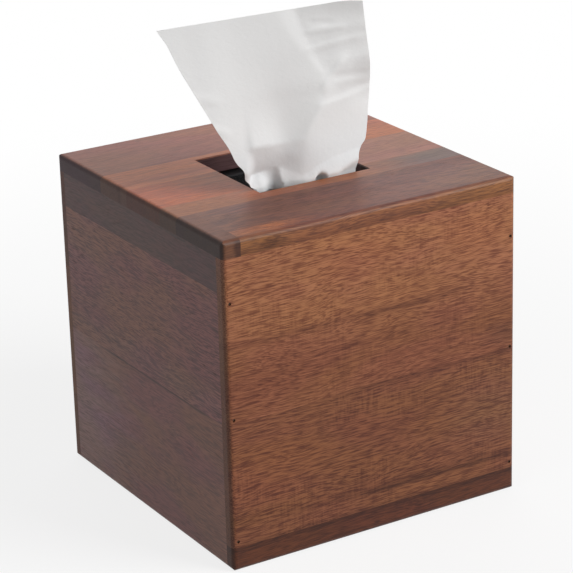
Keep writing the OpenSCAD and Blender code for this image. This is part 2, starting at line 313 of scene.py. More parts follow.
def new_material(name):
    """An empty material and its tree."""
    made = bpy.data.materials.new(name)
    made.use_nodes = True
    made.node_tree.nodes.clear()
    return made, made.node_tree


def surface(tree, colour, roughness, height, strength, distance, others):
    """The material's surface: a bump of a height in millimetres, and others, which pairs more of the shader's
    inputs with their values."""
    bump = lay(tree, "Bump", {"Height": height, "Strength": strength, "Distance": distance * MM}).outputs[0]
    shader = lay(tree, "BsdfPrincipled", {"Base Color": colour, "Roughness": roughness, "Normal": bump, **others})
    lay(tree, "OutputMaterial", {0: shader.outputs[0]})


def dress(node, material):
    """Gives a carried-over solid its material."""
    mesh = nodes[node].data
    mesh.materials.clear()
    mesh.materials.append(material)


def stave_material(name, seed, light, dark, band, fine, grain="x", face="z", contrast=1.0, lines=0.4, pores=0.5,
                   ripple=0.3, mottle=0.7, end=(0.25, 0.34, 0.47), marks=(), edge=None, edge_marks=()):
    """Wood of one stave. grain is the axis that the grain runs along, face the axis across it on the stave's broad
    side. marks are streaks and patches on the stave, each with the colour that it multiplies by; most follow the
    real wood, and a few are painted shade or painted warm light. A stave whose front edge shows another cut has a
    colour for that edge, and marks of its own there."""
    made, tree = new_material(name)
    where = lay(tree, "TexCoord").outputs
    turn = (0, 0, 0) if grain == "x" else (0, 0, -math.pi / 2)
    point = millimetres(tree, where["Object"], turn)
    place, facing = split(tree, point), split(tree, where["Normal"])
    ends = ramp(tree, calc(tree, "ABSOLUTE", facing[0 if grain == "x" else 1]), 0.3, 0.8)
    figure = use(tree, wood_figure, {
        "Point": point, "Seed": seed, "End Grain": ends, "Light": (*light, 1), "Dark": (*dark, 1), "Band": band,
        "Contrast": contrast, "Fine": fine, "Lines": lines, "Pores": pores, "Ripple": ripple, "Mottle": mottle,
        "End Tint": (*end, 1)})

    def marked(colour, listed, across, first):
        """colour with the listed marks on it; each takes its own noise by its number, counted from first."""
        for k, (shared, share, tint, values) in enumerate(listed, first):
            mask = use(tree, shared, {"Along": place[0], "Across": across, "Seed": seed + 0.37 * k, **values})
            colour = tinted(tree, colour, (*tint, 1), times(tree, mask["Mask"], share))
        return colour

    colour = marked(figure["Color"], marks, place[1 if face == "y" else 2], 0)
    if edge:
        at_edge = ramp(tree, times(tree, facing[1], -1.0), 0.55, 0.85)
        cut = marked(tinted(tree, figure["Color"], (*edge, 1), 1.0), edge_marks, place[2], 20)
        colour = blended(tree, colour, cut, at_edge)
    surface(tree, colour, figure["Roughness"], figure["Height"], 0.35, 0.08, {"Specular IOR Level": 0.28})
    return made


def streak(share, tint, at, breadth, start, stop, wander, slope=0.0, fade=10.0):
    """A streak that multiplies the wood's colour by tint, by a share from 0 to 1. at and breadth are measured
    across the grain, start and stop along it."""
    return grain_streak, share, tint, {"At": at, "Breadth": breadth, "Start": start, "Stop": stop,
                                       "Wander": wander, "Slope": slope, "Fade": fade}


def patch(share, tint, along, across, along_radius, across_radius):
    """A patch that multiplies the wood's colour by tint, by a share from 0 to 1: its middle and its radii, along
    the grain and across it."""
    return soft_patch, share, tint, {"Along At": along, "Across At": across, "Along Radius": along_radius,
                                     "Across Radius": across_radius}


SHADE = (0.42, 0.36, 0.36)
DUSK = (0.62, 0.55, 0.56)
BOARD_END = (0.58, 0.68, 0.86)

# Colours are linear. Places are millimetres of the cover: along the grain, and up or, on the top panel, to the back
WOODS = {
    # Front board: golden above, browner below with a dark wave, a soft seam, cross ripple, a streak and a dark foot,
    # with painted shade along its bottom edge
    "front_upper_stave": dict(
        seed=3.1, light=(0.432, 0.178, 0.083), dark=(0.169, 0.051, 0.025), band=16, contrast=0.36, fine=1.45,
        lines=0.1, pores=0.45, ripple=0.9, mottle=0.6, marks=[
            patch(0.5, (1.02, 0.90, 0.98), -8, 118, 30, 14),
            patch(0.5, (1.02, 0.90, 0.98), 48, 118, 26, 14),
            streak(1.0, (0.61, 0.53, 0.53), 75, 18, -200, 200, 2.0),
            streak(0.85, DUSK, 93.8, 1.6, -100, 45, 1.6, fade=14),
            streak(0.32, SHADE, 93.3, 1.8, -4, 26, 0.8),
            streak(0.35, DUSK, 82.5, 1.2, -20, 40, 0.8),
            patch(0.55, (0.66, 0.68, 0.84), 62, 71, 16, 7),
            streak(0.82, SHADE, 63.0, 0.9, -20, 90, 0.5, fade=22)]),
    "front_lower_stave": dict(
        seed=5.7, light=(0.276, 0.105, 0.049), dark=(0.109, 0.031, 0.0165), band=12, contrast=0.28, fine=1.95,
        lines=0.1, pores=0.45, ripple=2.1, mottle=0.5, marks=[
            patch(0.7, (0.93, 0.90, 0.86), 2, 42, 44, 34),
            patch(0.8, (0.98, 1.12, 1.18), 58, 38, 34, 24),
            patch(0.6, (1.14, 1.08, 1.02), -52, 40, 40, 26),
            streak(0.5, DUSK, 62.0, 0.9, -30, 90, 0.3, fade=22),
            patch(0.5, (0.95, 1.0, 0.86), -20, 22, 110, 7),
            streak(1.0, SHADE, 17.2, 1.1, -10, 90, 0.4, slope=-0.01, fade=14),
            streak(0.65, DUSK, 18.8, 1.4, -40, 90, 0.6, fade=14),
            streak(0.5, SHADE, 10.6, 0.7, -60, 90, 0.2)]),
    "front_foot_stave": dict(
        seed=9.2, light=(0.138, 0.0415, 0.0196), dark=(0.055, 0.0152, 0.0088), band=5, contrast=0.9, fine=1.3,
        marks=[
            # Painted shade: a dark line along the bottom edge, standing in for the shaded rounded arris and the
            # contact shadow
            streak(0.8, SHADE, 0.2, 0.6, -200, 200, 0.1),
            streak(0.6, SHADE, 9.2, 1.3, -100, 100, 0.4),
            streak(0.4, SHADE, 6.0, 0.7, -50, 30, 0.5)]),
    # Left board: smooth and grey at the top, pored and mottled in the middle, plain below, with painted shade along
    # the bottom edge
    "left_upper_stave": dict(
        seed=12.4, grain="y", light=(0.112, 0.050, 0.045), dark=(0.050, 0.021, 0.020), band=9, contrast=0.25,
        fine=2.3, pores=0.3, marks=[
            streak(0.5, SHADE, 128.6, 0.8, -200, 200, 0.2)]),
    "left_middle_stave": dict(
        seed=14.9, grain="y", light=(0.280, 0.123, 0.099), dark=(0.101, 0.039, 0.035), band=11, contrast=0.3,
        fine=1.8, pores=1.0, mottle=1.2, marks=[
            patch(0.9, (1.09, 1.22, 1.26), 0, 67, 120, 8),
            patch(0.6, (1.04, 1.12, 1.22), 60, 96, 50, 34),
            streak(0.5, SHADE, 66.5, 1.1, -100, 100, 1.6, slope=0.02),
            streak(0.5, SHADE, 70.5, 0.9, -40, 50, 1.6, slope=0.05),
            streak(0.20, DUSK, 63.4, 0.9, -60, 60, 0.8),
            patch(0.8, SHADE, -60, 99, 5, 1.8)]),
    "left_lower_stave": dict(
        seed=17.3, grain="y", light=(0.260, 0.114, 0.091), dark=(0.118, 0.050, 0.041), band=18, contrast=0.2,
        fine=1.4, pores=0.4, mottle=1.3, marks=[
            # Painted shade: a dark line along the bottom edge, standing in for the shaded rounded arris and the
            # contact shadow
            streak(0.8, SHADE, 0.2, 0.6, -200, 200, 0.1),
            streak(1.0, (0.16, 0.12, 0.10), 60.7, 0.5, -52, 32, 0.15, fade=6),
            patch(0.8, (1.35, 1.80, 2.40), 62, 30, 64, 60),
            streak(0.3, DUSK, 37.0, 0.6, 17, 80, 0.4),
            patch(0.4, DUSK, -53, 30, 6, 3)]),
    # Top panel, back to front
    "top_back_stave": dict(
        seed=21.6, face="y", light=(0.450, 0.172, 0.119), dark=(0.262, 0.098, 0.069), band=14, contrast=0.45,
        fine=1.1, pores=0.2, end=(0.152, 0.216, 0.36), marks=[
            streak(0.6, DUSK, 32.5, 1.2, -100, 10, 1.0, slope=0.06)]),
    "top_rear_notched_stave": dict(
        seed=24.2, face="y", light=(0.650, 0.214, 0.105), dark=(0.386, 0.123, 0.064), band=8, fine=1.1, pores=0.2,
        end=(0.178, 0.275, 0.456), edge=(0.28, 0.44, 0.99), marks=[
            streak(0.75, DUSK, 13.5, 1.8, -100, -30, 1.0)]),
    "top_middle_left_stave": dict(
        seed=27.5, face="y", light=(0.586, 0.161, 0.068), dark=(0.340, 0.093, 0.044), band=9, fine=1.2, pores=0.2,
        end=(0.178, 0.275, 0.456), marks=[
            patch(0.8, (0.62, 0.78, 0.95), -20, 0, 34, 30)]),
    "top_middle_right_stave": dict(
        seed=29.1, face="y", light=(0.470, 0.210, 0.140), dark=(0.280, 0.120, 0.085), band=9, fine=1.1, pores=0.2),
    "top_fore_notched_stave": dict(
        seed=31.8, face="y", light=(0.408, 0.148, 0.073), dark=(0.244, 0.086, 0.047), band=8, fine=1.1, pores=0.2,
        end=(0.20, 0.29, 0.46), marks=[
            patch(0.9, (0.52, 0.98, 1.75), 58, -30, 40, 30),
            # Painted warm light: a soft orange glow on the top beside the slot's front-left corner
            patch(0.6, (1.25, 0.98, 0.66), -30, -26, 12, 6)]),
    "top_front_stave": dict(
        seed=34.6, face="y", light=(0.270, 0.106, 0.064), dark=(0.122, 0.046, 0.037), band=9, contrast=1.1,
        fine=1.4, pores=0.5, edge=(1.28, 1.33, 0.88), marks=[
            patch(0.6, (1.10, 1.35, 1.50), 50, -50, 46, 24),
            patch(0.35, DUSK, 34, -65, 50, 6),
            streak(0.6, DUSK, -37.0, 3.5, -20, 90, 1.0, fade=20),
            streak(0.5, DUSK, -48.0, 2.6, -100, 40, 1.6, slope=-0.03),
            patch(0.9, (2.3, 1.9, 1.1), -46, -62, 26, 6)],
        edge_marks=[
            streak(0.75, DUSK, 130.4, 1.6, -200, 200, 0.5),
            patch(0.7, SHADE, -46, 132, 7, 4)]),
    "top_corner_block": dict(
        seed=38.3, face="y", light=(0.225, 0.082, 0.048), dark=(0.115, 0.043, 0.030), band=5, fine=0.8, pores=0.3,
        end=(0.22, 0.31, 0.45), edge=(0.92, 1.02, 0.94), edge_marks=[
            patch(1.0, (0.42, 0.38, 0.42), -60.4, 133, 2.8, 30)]),
    # Right and back boards
    "right_lower_stave": dict(
        seed=41.4, grain="y", light=(0.280, 0.106, 0.052), dark=(0.125, 0.046, 0.026), band=13, fine=1.2),
    "right_middle_stave": dict(
        seed=43.8, grain="y", light=(0.360, 0.140, 0.062), dark=(0.160, 0.060, 0.030), band=15, fine=1.2,
        ripple=0.6),
    "right_upper_stave": dict(
        seed=46.1, grain="y", light=(0.235, 0.088, 0.048), dark=(0.105, 0.038, 0.024), band=10, fine=1.2),
    "back_lower_stave": dict(
        seed=48.7, light=(0.280, 0.104, 0.051), dark=(0.120, 0.044, 0.025), band=12, fine=1.2),
    "back_middle_stave": dict(
        seed=51.3, light=(0.370, 0.145, 0.064), dark=(0.160, 0.060, 0.030), band=14, fine=1.2, ripple=0.6),
    "back_upper_stave": dict(
        seed=53.9, light=(0.225, 0.084, 0.046), dark=(0.100, 0.036, 0.023), band=9, fine=1.2, marks=[
            streak(0.5, SHADE, 104, 1.2, -100, 100, 1.2)]),
}

for stave, look in WOODS.items():
    if stave.startswith(("front", "back")):
        look["end"] = BOARD_END
    dress(stave, stave_material(stave + "_wood", **look))


def card_material():
    """Dark plain card: felted fibres, faint mottling, paler worn edges, and the thin dark line of the glued lap on
    the right side. An upright edge is where the smaller of |x| and |y| nears the wall, a top edge where the larger
    one and the height do."""
    worn_breadth, lap_off, lap_breadth = 0.9, 14, 0.45
    made, tree = new_material("dark_card")
    point = millimetres(tree, object_point(tree))
    x, y, z = split(tree, point)
    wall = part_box("carton")[1] / MM
    fibres = cloudy(tree, point, 1.3, (1.6, 1.6, 0.5), 4.0, 0.65)
    colour = blended(tree, (0.034, 0.031, 0.033, 1), (0.064, 0.060, 0.063, 1), ramp(tree, fibres, 0.3, 0.7))
    colour = tinted(tree, colour, (0.75, 0.75, 0.78, 1), cloudy(tree, point, 4.1, 14, 3.0))

    wide, deep = calc(tree, "ABSOLUTE", x), calc(tree, "ABSOLUTE", y)
    upright = calc(tree, "MINIMUM", wide, deep)
    brim = calc(tree, "MINIMUM", calc(tree, "MAXIMUM", wide, deep), calc(tree, "SUBTRACT", z, wall.z - wall.x))
    worn = ramp(tree, calc(tree, "MAXIMUM", upright, brim), wall.x - worn_breadth, wall.x)
    worn = times(tree, worn, ramp(tree, cloudy(tree, point, 9.4, (3, 3, 7), 3.0), 0.35, 0.65, 0.2, 1.0))
    colour = blended(tree, colour, (0.17, 0.16, 0.155, 1), worn)

    lap = calc(tree, "ABSOLUTE", calc(tree, "SUBTRACT", y, wall.y - lap_off))
    lap = ramp(tree, lap, 0.1, lap_breadth, 1.0, 0.0)
    lap = times(tree, lap, calc(tree, "GREATER_THAN", x, wall.x - 0.3))
    colour = tinted(tree, colour, (0.35, 0.35, 0.36, 1), lap)
    height = calc(tree, "MULTIPLY_ADD", lap, -1.5, fibres)
    surface(tree, colour, ramp(tree, fibres, 0.2, 0.8, 0.62, 0.78), height, 0.4, 0.06, {})
    return made


def film_material():
    """Clear film: nearly invisible, with slack waves and faint handling marks in its gloss."""
    made, tree = new_material("clear_film")
    point = millimetres(tree, object_point(tree))
    slack = cloudy(tree, point, 2.2, (22, 9, 9))
    marks = cloudy(tree, point, 6.4, 5, 4.0, 0.6)
    colour = blended(tree, (0.20, 0.21, 0.22, 1), (0.34, 0.35, 0.36, 1), marks)
    surface(tree, colour, ramp(tree, marks, 0.4, 0.75, 0.05, 0.22), slack, 0.5, 1.2,
            {"Alpha": ramp(tree, marks, 0.35, 0.8, 0.05, 0.12)})
    return made


def steel_material():
    """Dulled brad steel: brushed noise round the head with rust-brown specks."""
    made, tree = new_material("brad_steel")
    point = millimetres(tree, object_point(tree))
    grain = cloudy(tree, point, 3.7, 0.25, 3.0, 0.6)
    colour = blended(tree, (0.10, 0.066, 0.050, 1), (0.17, 0.115, 0.088, 1), grain)
    colour = tinted(tree, colour, (0.55, 0.38, 0.28, 1), ramp(tree, cloudy(tree, point, 8.8, 0.4), 0.5, 0.65))
    surface(tree, colour, ramp(tree, grain, 0.3, 0.7, 0.42, 0.62), grain, 0.3, 0.05, {"Metallic": 0.9})
    return made


dress("carton", card_material())
dress("window_film", film_material())
steel = steel_material()
dress("front_brads", steel)
dress("back_brads", steel)


def build_crepe():
    """Tissue paper: fine creping across the sheet, felted fibres, and soft crinkles of a few millimetres, whose
    ridges are the level lines in the middle of a noise."""
    tree, has, end = group("crepe", {"Vector": ["Sheet Point"], "Float": ["Crinkle"]},
                           {"Color": ["Color"], "Float": ["Roughness", "Height"]})
    point = has["Sheet Point"]
    creping = cloudy(tree, point, 1.7, (1.8, 0.35, 1.0), 2.0, 0.6)
    fibres = cloudy(tree, point, 5.2, 0.5, 3.0, 0.7)
    crinkle = cloudy(tree, point, 8.6, (7, 4, 6), 3.0, 0.55)
    off_middle = calc(tree, "ABSOLUTE", calc(tree, "SUBTRACT", crinkle, 0.5))
    ridges = calc(tree, "SUBTRACT", 1.0, times(tree, off_middle, 4.0))
    colour = blended(tree, (0.80, 0.796, 0.790, 1), (0.87, 0.868, 0.864, 1), fibres)
    height = calc(tree, "MULTIPLY_ADD", creping, 0.10, times(tree, fibres, 0.08))
    height = calc(tree, "MULTIPLY_ADD", ridges, times(tree, has["Crinkle"], 0.5), height)
    fill(tree, end, {"Color": colour, "Roughness": ramp(tree, fibres, 0.2, 0.8, 0.80, 0.92), "Height": height})
    return tree


crepe = build_crepe()
# Painted light: the paper is tinted a little cooler below these heights in metres, to cancel the wood's warm light
# that falls on it
COOLER, COOL_FROM, COOL_UP_TO = (0.972, 1.0, 1.018, 1), 0.142, 0.162


def paper_material(name, crinkle):
    """White tissue with a soft sheen; its pattern follows the piece's own flat map, in millimetres."""
    made, tree = new_material(name)
    flat = lay(tree, "UVMap", uv_map="flat_map").outputs[0]
    paper = use(tree, crepe, {"Sheet Point": millimetres(tree, flat), "Crinkle": crinkle})
    # Painted cool tint low down, which cancels the wood's warm light on the paper
    low_down = ramp(tree, split(tree, object_point(tree))[2], COOL_FROM, COOL_UP_TO, 1.0, 0.0)
    colour = tinted(tree, paper["Color"], COOLER, low_down)
    surface(tree, colour, paper["Roughness"], paper["Height"], 0.22, 0.4,
            {"Specular IOR Level": 0.2, "Sheen Weight": 0.12, "Sheen Roughness": 0.6})
    return made


def ease(t):
    """0 to 1 with level ends."""
    t = np.clip(t, 0, 1)
    return t * t * (3 - 2 * t)


def circle(steps):
    """Angles once round, without the last one, which is the first again."""
    return np.linspace(0, 2 * math.pi, steps + 1)[:-1]


def grid_piece(name, points, flat, closed_across=False):
    """A mesh over a grid of points (rows, columns, 3), in millimetres. flat is each point's place on the flat sheet,
    in millimetres, and becomes the map that the paper's pattern follows."""
    rows, columns = points.shape[:2]
    index = np.arange(rows * columns).reshape(rows, columns)
    right = np.roll(index, -1, 1) if closed_across else index[:, 1:]
    left = index if closed_across else index[:, :-1]
    quads = np.stack([left[:-1], right[:-1], right[1:], left[1:]], -1).reshape(-1, 4)
    mesh = bpy.data.meshes.new(name)
    mesh.from_pydata((points.reshape(-1, 3) * MM).tolist(), [], quads.tolist())
    layer = mesh.uv_layers.new(name="flat_map")
    layer.data.foreach_set("uv", (flat.reshape(-1, 2)[quads.ravel()] * MM).astype(np.float32).ravel())
    mesh.shade_smooth()
    piece = bpy.data.objects.new(name, mesh)
    bpy.context.scene.collection.objects.link(piece)
    return piece


# The drawn sheet, in millimetres: the slot's rim and where the sheet stands at its front wall, how far the top edge
# leans back, how far the back layer's free edge lies inside the front one's, half the sheet's breadth, how wide it
# passes the film's slit and lies on the stack, and the sheet's thickness
TOP, WALL = 136.5, -25.25
STACK_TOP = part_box("tissue_stack")[1].z / MM
LEAN, EDGE_INSIDE, FOLDED_BREADTH = 6.0, 1.0, 105
SLIT_LEFT, SLIT_BREADTH, LYING_BREADTH = -24.5, 46.0, 102.0
THICKNESS = 0.14
# Points across one layer, and rows above the rim, up from the stack and on the stack
CROSSINGS = 72
FAN_ROWS, CLIMB_ROWS, LYING_ROWS = 110, 26, 40
# Outline over the slot's front wall: height above the rim, left margin, right margin
OUTLINE = np.array([
    [0, -24.9, 21.4], [1.0, -27.0, 21.4], [2.5, -27.8, 21.3], [4.1, -29.7, 21.3], [5.5, -31.2, 21.4],
    [8.0, -31.8, 21.9], [9.3, -32.1, 22.3], [10.7, -33.0, 22.9], [12.2, -34.4, 24.1], [14.9, -36.1, 25.0],
    [17.4, -37.1, 25.5], [20.0, -38.3, 26.0], [22.7, -39.9, 26.4], [26, -41.9, 26.9], [33.5, -45.8, 28.3],
    [43.5, -51.1, 29.6], [53.5, -56.4, 29.1], [63.9, -61.2, 28.3], [69.5, -64.9, 27.8]])
# Cross-sections of the long creases: height above the rim; then for the valley, the ridge and the tuck beside it the
# place, the height towards the viewer and the softness; then the height at the right margin
SECTIONS = np.array([
    [0, -10.0, 0.0, 2.0, -3.0, 0.6, 2.0, 9, -0.2, 2, -1.0],
    [7, -10.5, -0.6, 2.0, -3.0, 0.8, 2.0, 9, -0.6, 2, -2.2],
    [12, -15.0, -1.6, 2.0, -2.8, 1.0, 1.5, 9, -0.8, 3, -3.2],
    [17.3, -14.5, -3.0, 1.8, -2.6, 1.3, 1.2, 9, -0.8, 3, -3.8],
    [24, -15.0, -3.9, 2.2, 1.5, 1.6, 0.6, 13, -1.1, 3, -4.0],
    [30.6, -15.8, -3.9, 3.0, 6.4, 1.8, 0.35, 17, -1.0, 3, -4.0],
    [34.5, -16.5, -3.5, 3.4, 8.4, 1.7, 0.6, 15, -0.2, 3, -2.6],
    [38, -18.0, -3.0, 3.8, 8.0, 1.5, 0.8, 11, 1.0, 2, -0.8],
    [45, -21.0, -2.4, 4.5, 4.3, 0.7, 0.35, 7.0, 0.45, 0.4, 2.2],
    [55, -26.0, -1.9, 5.0, -3.6, 0.2, 0.30, 2.2, 0.0, 0.35, 4.0],
    [69.5, -32.0, -1.5, 5.5, -11.9, -0.3, 0.30, -4.2, -0.7, 0.35, 6.5]])
# Where the sheet leaves the slot: place; height up to which it stands on a ledge of its own; how far towards the
# viewer it stands there, or away where that is below 0; and the height below which it is drawn under itself, and how
# steeply
LEDGE = np.array([
    [-32, 9.0, -3.6, 0, 1], [-28.5, 6.8, -3.4, 0, 1], [-26.9, 6.2, -3.2, 0, 1], [-24.9, 6.4, -3.2, 0, 1],
    [-20.9, 7.8, -3.2, 0, 1], [-17.7, 8.8, -3.4, 0, 1], [-13, 7.0, -3.2, 0, 1], [-10, 5.6, -2.6, 0, 1],
    [-5.8, 2.8, -1.0, 0, 1], [-2.6, 3.0, 0.4, 0, 1], [-0.4, 4.6, 0.9, 0, 1.6], [1.2, 5.4, 1.1, 2.1, 1.6],
    [3.0, 6.2, 1.1, 2.9, 1.6], [4.9, 6.6, 1.1, 2.1, 1.6], [6.4, 7.0, 1.1, 0.3, 1.1], [9.5, 8, 1.1, 0.6, 0.9],
    [13, 8.2, 1.1, 2.2, 0.95], [17, 9, 1.1, 3.6, 0.95], [20.9, 9, 1.1, 4.5, 0.95], [25, 9, 1.1, 4.9, 0.95]])
# Short folds: from (x, z) to (x, z), height towards the viewer, breadth to the left and to the right of that way
FOLDS = [
    ((2.4, 195.8), (16.7, 195.3), 0.26, 1.8, 2.4),
    ((3.2, 188.7), (23.9, 190.1), 0.34, 2.0, 2.8),
    ((4.5, 199.0), (11.0, 198.0), -0.26, 1.8, 2.4),
    ((8.6, 174.5), (16.2, 181.4), 0.34, 2.4, 2.4),
    ((9, 168.4), (30, 171.7), -0.6, 4.4, 2.8),
    ((15, 181), (31, 181.5), 0.55, 5.0, 6.0),
    ((15, 176), (27, 175), -0.4, 2.8, 2.8),
    ((13, 201), (33, 199), -0.5, 8.0, 6.0),
    ((-44.5, 200), (-39.5, 164), 0.34, 13, 9),
    ((15.5, 184), (17.5, 171.5), 0.25, 7, 7),
    ((-52, 178), (-44, 176), 0.3, 3.5, 3.5),
    ((-46, 166), (-40, 163), 0.4, 2.8, 2.8),
]
# The level crease over the hollow: one place on it, and how it falls to the right
TUCK_X, TUCK_Z, TUCK_FALL = -18.6, 154.3, 0.04
# The dart's line: its place at the rim and how it runs to the left on the way up; and its step
DART_X, DART_RUN, DART_STEP = -12.9, 0.30, 3.2


def smoothly(at, table):
    """Cubic curves through a table whose first column rises: one array for each of its other columns."""
    places, values = table[:, 0], table[:, 1:]
    slopes = np.gradient(values, places, axis=0)
    k = np.clip(np.searchsorted(places, at, side="right") - 1, 0, len(places) - 2)
    step = (places[k + 1] - places[k])[..., None]
    t = np.clip((at - places[k])[..., None] / step, 0, 1)
    curve = values[k] * (1 + 2 * t) * (1 - t) ** 2 + slopes[k] * step * t * (1 - t) ** 2
    curve += values[k + 1] * t * t * (3 - 2 * t) - slopes[k + 1] * step * t * t * (1 - t)
    return list(np.moveaxis(curve, -1, 0))


def ramped(distance, soft):
    """0 before a crease and the distance behind it, rounded over the crease's softness."""
    return soft * np.logaddexp(0, distance / soft)


def crease_depth(x, z, left, right):
    """The long creases: in every row the sheet runs straight between the margins, the valley, the ridge and the
    tuck, and rounded ramps blend the slopes where two such facets meet."""
    row = smoothly(z - TOP, SECTIONS)
    places = [left, row[0], row[3], row[6], right]
    heights = [0 * row[1], row[1], row[4], row[7], row[9]]
    slopes = [(heights[k + 1] - heights[k]) / (places[k + 1] - places[k]) for k in range(4)]
    depth = slopes[0] * (x - left)
    for k, soft in enumerate((row[2], row[5], row[8])):
        depth = depth + (slopes[k + 1] - slopes[k]) * ramped(x - places[k + 1], soft)
    return depth


def tuck_depth(x, z):
    """The bulge that ends in a level crease and the hollow that runs down and back from it: soft at its left side,
    and coming forward again over a long way to the right."""
    down = TUCK_Z - TUCK_FALL * (x - TUCK_X) - z
    depth = 0.09 * ramped(down + 14, 2.0) - 0.78 * ramped(down, 0.35)
    return depth * ease((x + 31.0) / 4.5) * (1 - 0.8 * ease((x + 24) / 20) - 0.2 * ease((x + 10) / 22))


def dart_depth(x, z):
    """The dart at the foot: a step back to the left of a line that runs down to the right, steep beside the line
    and lost again further left; it grows with the way down that the caller multiplies it by."""
    off = x - DART_X + DART_RUN * (z - TOP)
    return -DART_STEP * (1 - np.clip((off + 3.0) / 3.0, 0, 1) ** 2) * ease((off + 9.5) / 5.5)


def fold_depth(x, z):
    """Sum over the short folds of height * bell of the distance from the fold's line, wider to one side than to the
    other and fading out past both its ends."""
    depth = np.zeros_like(x)
    for (x0, z0), (x1, z1), height, left, right in FOLDS:
        length = math.hypot(x1 - x0, z1 - z0)
        dx, dz = (x1 - x0) / length, (z1 - z0) / length
        along = ((x - x0) * dx + (z - z0) * dz) / length
        side = (x - x0) * -dz + (z - z0) * dx
        away = np.abs(side) / np.where(side < 0, right, left)
        over = np.maximum(np.maximum(-along, along - 1), 0) * length
        depth += height * ease(1 - np.hypot(away, over / (left + right)))
    return depth


def opened(u):
    """How far the two layers have parted at a share u of the way to the fold: wholly, but for the fold's turn."""
    return np.sqrt(np.clip((1 - u) / 0.06, 0, 1))


def back_off(u, rise):
    """How far the back layer stands behind the front one: a gap that is widest in the middle, high up and at the
    slot, and pleats that gather it at the slot and die out above it."""
    gap = 0.16 + 2.6 * ease(rise) * np.sin(math.pi * u)
    gap = gap + 3.5 * (1 - ease(rise * 2.5)) * np.sin(math.pi * u) ** 2
    pleats = 5.0 * (1 - ease(rise * 1.6)) * (1 - np.cos(2 * math.pi * u * 4.5)) / 2 * ease((1 - u) / 0.12)
    return gap * opened(u) + pleats


def drawn_sheet():
    """The drawn tissue, folded double with its fold on the right: across runs from 0 at the front layer's free edge,
    through 1 at the fold, to 2 at the back layer's free edge. Above the slot a row runs between the two margins of
    the outline; there every crease moves a point along the line of sight of the photograph, so that margins stay in
    place while the surface comes forward or goes back, and near the rim straight towards the slot's front wall."""
    across = np.concatenate([np.linspace(0, 1, CROSSINGS), 2 - np.linspace(1, 0, CROSSINGS)[1:]])
    share, behind = np.where(across <= 1, across, 2 - across), across > 1
    u = share[None, :]
    rise = np.linspace(0, 1, FAN_ROWS + 1)[:, None]
    tall = OUTLINE[-1, 0]
    left, right = smoothly(rise * tall, OUTLINE)
    x = left + u * (right - left) + np.where(behind[None, :], EDGE_INSIDE * (1 - u) ** 6, 0)
    y = WALL + LEAN * ease(rise)
    top_edge = 0.65 - 1.4 * u - 1.3 * np.clip((u - 0.86) / 0.14, 0, 1) ** 2
    z = TOP + rise * tall + top_edge * rise + 0 * x

    ledge, stand, under, steep = (np.interp(x, LEDGE[:, 0], column) for column in LEDGE[:, 1:].T)
    over = z - TOP
    upper = TOP + ledge + ramped(over - ledge, 0.5)
    share_up = np.clip(over / ledge, 0, 1)
    forward = (crease_depth(x, upper, left, right) + tuck_depth(x, upper)) * share_up
    foot = stand * (1 - share_up) + dart_depth(x, z) * (1 - share_up ** 2)
    forward += foot + fold_depth(x, z) - steep * ramped(under - over, 0.4)
    at_rim = 0.08
    forward = np.where(rise < at_rim, np.minimum(forward, 3.0 * rise / at_rim - 0.02), forward)
    depth = np.where(behind[None, :], back_off(u, rise), 0) - forward

    fan = np.stack([x, y + 0 * x, z], -1)
    eye = EYE / MM
    reach = 1 + depth / (fan[..., 1] - eye[1])
    sighted = eye + (fan - eye) * reach[..., None]
    straight = fan + np.stack([0 * depth, depth, 0 * depth], -1)
    return across, share, behind, straight + (sighted - straight) * ease(rise * 5)[..., None]


def sheet_points():
    """Points of the whole drawn tissue and their places on the flat sheet. Below the fan the rows follow one side
    line: from the end lying on the stack, over two folds, through the film's slit and up to the slot's front wall."""
    across, share, behind, fan = drawn_sheet()
    low, high = STACK_TOP + 0.9, STACK_TOP + 2.7
    path = np.array([
        [-19.0, low], [1.6, low], [22.2, low], [41.5, low], [43.6, low + 0.35], [44.3, (low + high) / 2],
        [43.6, high - 0.35], [41.5, high], [30.7, high], [18.0, high], [8.0, high], [3.4, high + 0.9],
        [1.6, high + 3.4], [0.6, high + 8.5], [0, 126.3], [-2.5, 127.8], [-8.6, 129.3], [-16.3, 131.0],
        [-22.6, 132.4], [WALL + 0.5, 133.8], [WALL, TOP]])
    steps = np.concatenate([[0], np.cumsum(np.hypot(*np.diff(path, axis=0).T))])
    lies_up_to, climbs_from = steps[11], steps[12]
    rows = np.linspace(0, steps[-1], LYING_ROWS + CLIMB_ROWS)[:-1]
    y, z = np.interp(rows, steps, path[:, 0]), np.interp(rows, steps, path[:, 1])
    rounding = np.array([1, 2, 3, 2, 1]) / 9
    y, z = (np.concatenate([v[:2], np.convolve(v, rounding, "valid"), v[-2:]]) for v in (y, z))

    u = share[None, :]
    lying = ease((lies_up_to - rows) / 40)[:, None]
    climbing = ease((rows[:, None] - climbs_from) / (steps[-1] - climbs_from))
    in_slit = SLIT_LEFT + SLIT_BREADTH * u
    gathered = in_slit + (fan[:1, :, 0] - in_slit) * climbing
    x = gathered + (LYING_BREADTH / 2 * (2 * u - 1) - gathered) * lying
    y = y[:, None] + climbing * (fan[:1, :, 1] - WALL) + 0 * x
    z = z[:, None] + 0.45 * (behind[None, :] * opened(u)) * (1 - climbing) + 0 * x
    points = np.concatenate([np.stack([x, y, z], -1), fan])
    one_column = points[:, 20]
    run = np.concatenate([[0], np.cumsum(np.linalg.norm(np.diff(one_column, axis=0), axis=1))])
    flat = np.stack(np.broadcast_arrays(across * FOLDED_BREADTH, run[:, None]), -1)
    return points, flat


def apply_modifiers(piece):
    """Puts the finished modifiers into the mesh."""
    bpy.context.view_layer.update()
    done = bpy.data.meshes.new_from_object(piece.evaluated_get(bpy.context.evaluated_depsgraph_get()))
    piece.modifiers.clear()
    piece.data = done


